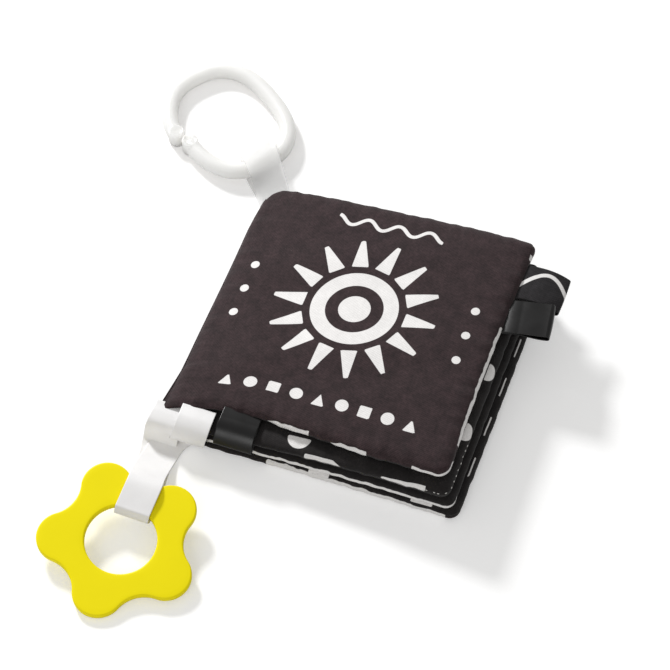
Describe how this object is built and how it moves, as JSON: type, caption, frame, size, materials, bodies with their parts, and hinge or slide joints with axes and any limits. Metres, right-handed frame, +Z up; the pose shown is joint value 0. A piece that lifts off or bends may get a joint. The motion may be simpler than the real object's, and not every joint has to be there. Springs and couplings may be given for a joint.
{
  "type": "contrast baby book",
  "caption": "Soft cloth book with padded leaves in a wrap-round spine, ribbon tags, a clip-on oval link and a star teether on ribbon loops.",
  "frame": {"origin": "middle of the back cover's flat resting face", "axes": "+X from the spine to the open edge, +Y from the bottom edge to the top edge, +Z up through the closed leaves to the front cover"},
  "size_m": [0.2203, 0.3064, 0.0314],
  "materials": {
    "cover_print": "matt charcoal print with white shapes",
    "page_print": "matt black print with white shapes",
    "striped_print": "matt white print with black shapes",
    "wadding": "white polyester wadding",
    "white_satin": "white satin ribbon",
    "black_satin": "black satin ribbon",
    "woven_tape": "black woven tape with a white wave",
    "link_plastic": "milky white, soft gloss",
    "star_rubber": "yellow silicone rubber, satin"
  },
  "bodies": {
    "back_cover": {"back_cover_outer_cloth": "cover_print", "back_cover_wadding": "wadding", "back_cover_lining": "striped_print", "spine_cloth": "cover_print"},
    "lower_page": {"lower_page_back_cloth": "striped_print", "lower_page_wadding": "wadding", "lower_page_front_cloth": "page_print"},
    "upper_page": {"upper_page_back_cloth": "page_print", "upper_page_wadding": "wadding", "upper_page_front_cloth": "page_print"},
    "front_cover": {"front_cover_lining": "page_print", "front_cover_wadding": "wadding", "front_cover_outer_cloth": "cover_print"},
    "teether_ribbon": {"teether_ribbon": "white_satin"},
    "star_teether": {"star_teether": "star_rubber"},
    "front_tag": {"front_tag": "black_satin"},
    "side_tag_wave": {"side_tag_wave": "woven_tape"},
    "side_tag_satin": {"side_tag_satin": "black_satin"},
    "link_ribbon": {"link_ribbon": "white_satin"},
    "link": {"link": "link_plastic"}
  },
  "joints": [
    {"name": "cover_hinge", "type": "hinge", "parent": "back_cover", "child": "front_cover", "pos_m": [-0.0763, 0.005, 0.0078], "axis": [0, -1, 0], "range_deg": [0, 165], "deforming": ["spine_cloth"]},
    {"name": "upper_page_hinge", "type": "hinge", "parent": "back_cover", "child": "upper_page", "pos_m": [-0.0714, 0, 0.0045], "axis": [0, -1, 0], "range_deg": [0, 99.1]},
    {"name": "lower_page_hinge", "type": "hinge", "parent": "back_cover", "child": "lower_page", "pos_m": [-0.068, 0, 0.0024], "axis": [0, -1, 0], "range_deg": [0, 49.6]},
    {"name": "teether_ribbon_curl", "type": "hinge", "parent": "front_cover", "child": "teether_ribbon", "pos_m": [-0.059, -0.066, 0.0092], "axis": [0, -1, 0], "range_deg": [-165, 0]},
    {"name": "star_swing", "type": "hinge", "parent": "teether_ribbon", "child": "star_teether", "pos_m": [-0.06778, -0.11499, 0.01009], "axis": [-0.9978, 0.0228, 0.0622], "range_deg": [0, 20]},
    {"name": "front_tag_bend", "type": "hinge", "parent": "front_cover", "child": "front_tag", "pos_m": [-0.0378, -0.0556, 0.019], "axis": [1, 0, 0], "range_deg": [-28, 1], "stiffness_Nm_per_rad": 0.002},
    {"name": "wave_tag_bend", "type": "hinge", "parent": "front_cover", "child": "side_tag_wave", "pos_m": [0.0601, 0.049, 0.0279], "axis": [0, -1, 0], "range_deg": [-20, 28], "stiffness_Nm_per_rad": 0.002},
    {"name": "satin_tag_bend", "type": "hinge", "parent": "front_cover", "child": "side_tag_satin", "pos_m": [0.0595, 0.0295, 0.0278], "axis": [0, -1, 0], "range_deg": [-20, 28], "stiffness_Nm_per_rad": 0.002},
    {"name": "link_ribbon_bend", "type": "hinge", "parent": "back_cover", "child": "link_ribbon", "pos_m": [-0.0645, 0.0655, 0.0018], "axis": [-1, 0, 0], "range_deg": [-30, 0]},
    {"name": "link_swing", "type": "hinge", "parent": "link_ribbon", "child": "link", "pos_m": [-0.07985, 0.09104, 0.0052], "axis": [-0.5299, -0.848, 0], "range_deg": [-20, 0]}
  ],
  "couplings": [
    {"joint": "upper_page_hinge", "follows": "cover_hinge", "ratio": 0.6},
    {"joint": "lower_page_hinge", "follows": "cover_hinge", "ratio": 0.3},
    {"joint": "teether_ribbon_curl", "follows": "cover_hinge", "ratio": -1}
  ]
}
